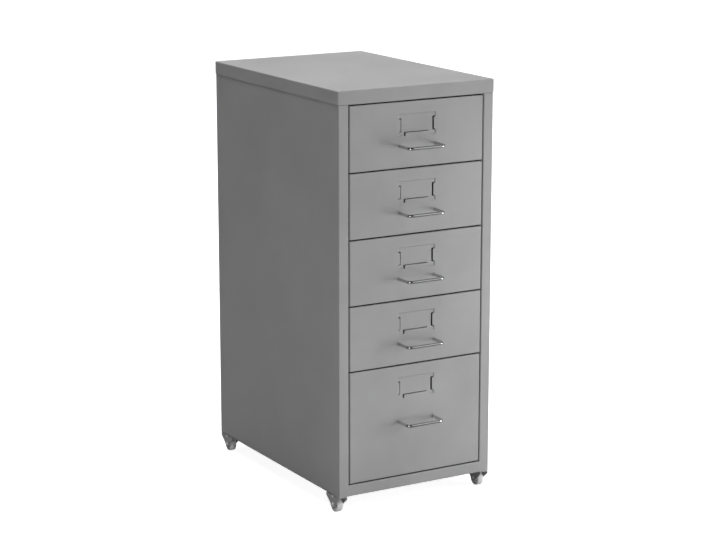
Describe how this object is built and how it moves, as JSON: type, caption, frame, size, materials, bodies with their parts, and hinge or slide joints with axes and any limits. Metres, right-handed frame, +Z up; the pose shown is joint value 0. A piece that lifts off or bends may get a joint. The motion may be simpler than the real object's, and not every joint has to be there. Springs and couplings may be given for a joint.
{
  "type": "drawer cabinet",
  "caption": "Narrow sheet-steel cabinet with a stack of shallow drawers over one deep drawer, wire pulls, pressed label holders and small swivel casters.",
  "frame": {"origin": "on the floor, under the middle of the overall footprint with the handles included", "axes": "+Z up, drawers open towards -Y, +X to the right of someone facing the drawers"},
  "size_m": [0.28, 0.443, 0.6675],
  "materials": {
    "carcass_paint": "satin powder coat, mid grey",
    "drawer_paint": "satin powder coat, mid grey",
    "fork_paint": "satin powder coat, mid grey",
    "handle_chrome": "polished chrome plate",
    "zinc": "bright zinc plate",
    "nylon": "milky white nylon"
  },
  "bodies": {
    "cabinet": {"top_cover": "carcass_paint", "left_side_panel": "carcass_paint", "right_side_panel": "carcass_paint", "back_panel": "carcass_paint", "base_panel": "carcass_paint", "top_cover_nuts": "zinc", "back_screws": "zinc", "base_screws": "zinc", "swivel_pins": "zinc", "swivel_washers": "zinc", "drawer_1_runners": "carcass_paint", "drawer_2_runners": "carcass_paint", "drawer_3_runners": "carcass_paint", "drawer_4_runners": "carcass_paint", "drawer_5_runners": "carcass_paint"},
    "drawer_1": {"drawer_1_front": "drawer_paint", "drawer_1_box": "drawer_paint", "drawer_1_back": "drawer_paint", "drawer_1_handle": "handle_chrome", "drawer_1_nuts": "zinc"},
    "drawer_2": {"drawer_2_front": "drawer_paint", "drawer_2_box": "drawer_paint", "drawer_2_back": "drawer_paint", "drawer_2_handle": "handle_chrome", "drawer_2_nuts": "zinc"},
    "drawer_3": {"drawer_3_front": "drawer_paint", "drawer_3_box": "drawer_paint", "drawer_3_back": "drawer_paint", "drawer_3_handle": "handle_chrome", "drawer_3_nuts": "zinc"},
    "drawer_4": {"drawer_4_front": "drawer_paint", "drawer_4_box": "drawer_paint", "drawer_4_back": "drawer_paint", "drawer_4_handle": "handle_chrome", "drawer_4_nuts": "zinc"},
    "drawer_5": {"drawer_5_front": "drawer_paint", "drawer_5_box": "drawer_paint", "drawer_5_back": "drawer_paint", "drawer_5_handle": "handle_chrome", "drawer_5_nuts": "zinc"},
    "front_left_caster": {"front_left_caster_fork": "fork_paint", "front_left_caster_axle": "zinc"},
    "front_left_wheel": {"front_left_caster_wheel": "nylon"},
    "front_right_caster": {"front_right_caster_fork": "fork_paint", "front_right_caster_axle": "zinc"},
    "front_right_wheel": {"front_right_caster_wheel": "nylon"},
    "rear_left_caster": {"rear_left_caster_fork": "fork_paint", "rear_left_caster_axle": "zinc"},
    "rear_left_wheel": {"rear_left_caster_wheel": "nylon"},
    "rear_right_caster": {"rear_right_caster_fork": "fork_paint", "rear_right_caster_axle": "zinc"},
    "rear_right_wheel": {"rear_right_caster_wheel": "nylon"}
  },
  "joints": [
    {"name": "drawer_1_slide", "type": "slide", "parent": "cabinet", "child": "drawer_1", "axis": [0, -1, 0], "range_m": [0, 0.29]},
    {"name": "drawer_2_slide", "type": "slide", "parent": "cabinet", "child": "drawer_2", "axis": [0, -1, 0], "range_m": [0, 0.29]},
    {"name": "drawer_3_slide", "type": "slide", "parent": "cabinet", "child": "drawer_3", "axis": [0, -1, 0], "range_m": [0, 0.29]},
    {"name": "drawer_4_slide", "type": "slide", "parent": "cabinet", "child": "drawer_4", "axis": [0, -1, 0], "range_m": [0, 0.29]},
    {"name": "drawer_5_slide", "type": "slide", "parent": "cabinet", "child": "drawer_5", "axis": [0, -1, 0], "range_m": [0, 0.29]},
    {"name": "front_left_swivel", "type": "hinge", "parent": "cabinet", "child": "front_left_caster", "pos_m": [-0.1315, -0.164, 0.0285], "axis": [0, 0, 1], "continuous": true},
    {"name": "front_left_roll", "type": "hinge", "parent": "front_left_caster", "child": "front_left_wheel", "pos_m": [-0.1315, -0.167, 0.0125], "axis": [1, 0, 0], "continuous": true},
    {"name": "front_right_swivel", "type": "hinge", "parent": "cabinet", "child": "front_right_caster", "pos_m": [0.1315, -0.164, 0.0285], "axis": [0, 0, 1], "continuous": true},
    {"name": "front_right_roll", "type": "hinge", "parent": "front_right_caster", "child": "front_right_wheel", "pos_m": [0.1315, -0.167, 0.0125], "axis": [1, 0, 0], "continuous": true},
    {"name": "rear_left_swivel", "type": "hinge", "parent": "cabinet", "child": "rear_left_caster", "pos_m": [-0.1315, 0.203, 0.0285], "axis": [0, 0, 1], "continuous": true},
    {"name": "rear_left_roll", "type": "hinge", "parent": "rear_left_caster", "child": "rear_left_wheel", "pos_m": [-0.1315, 0.2, 0.0125], "axis": [1, 0, 0], "continuous": true},
    {"name": "rear_right_swivel", "type": "hinge", "parent": "cabinet", "child": "rear_right_caster", "pos_m": [0.1315, 0.203, 0.0285], "axis": [0, 0, 1], "continuous": true},
    {"name": "rear_right_roll", "type": "hinge", "parent": "rear_right_caster", "child": "rear_right_wheel", "pos_m": [0.1315, 0.2, 0.0125], "axis": [1, 0, 0], "continuous": true}
  ]
}
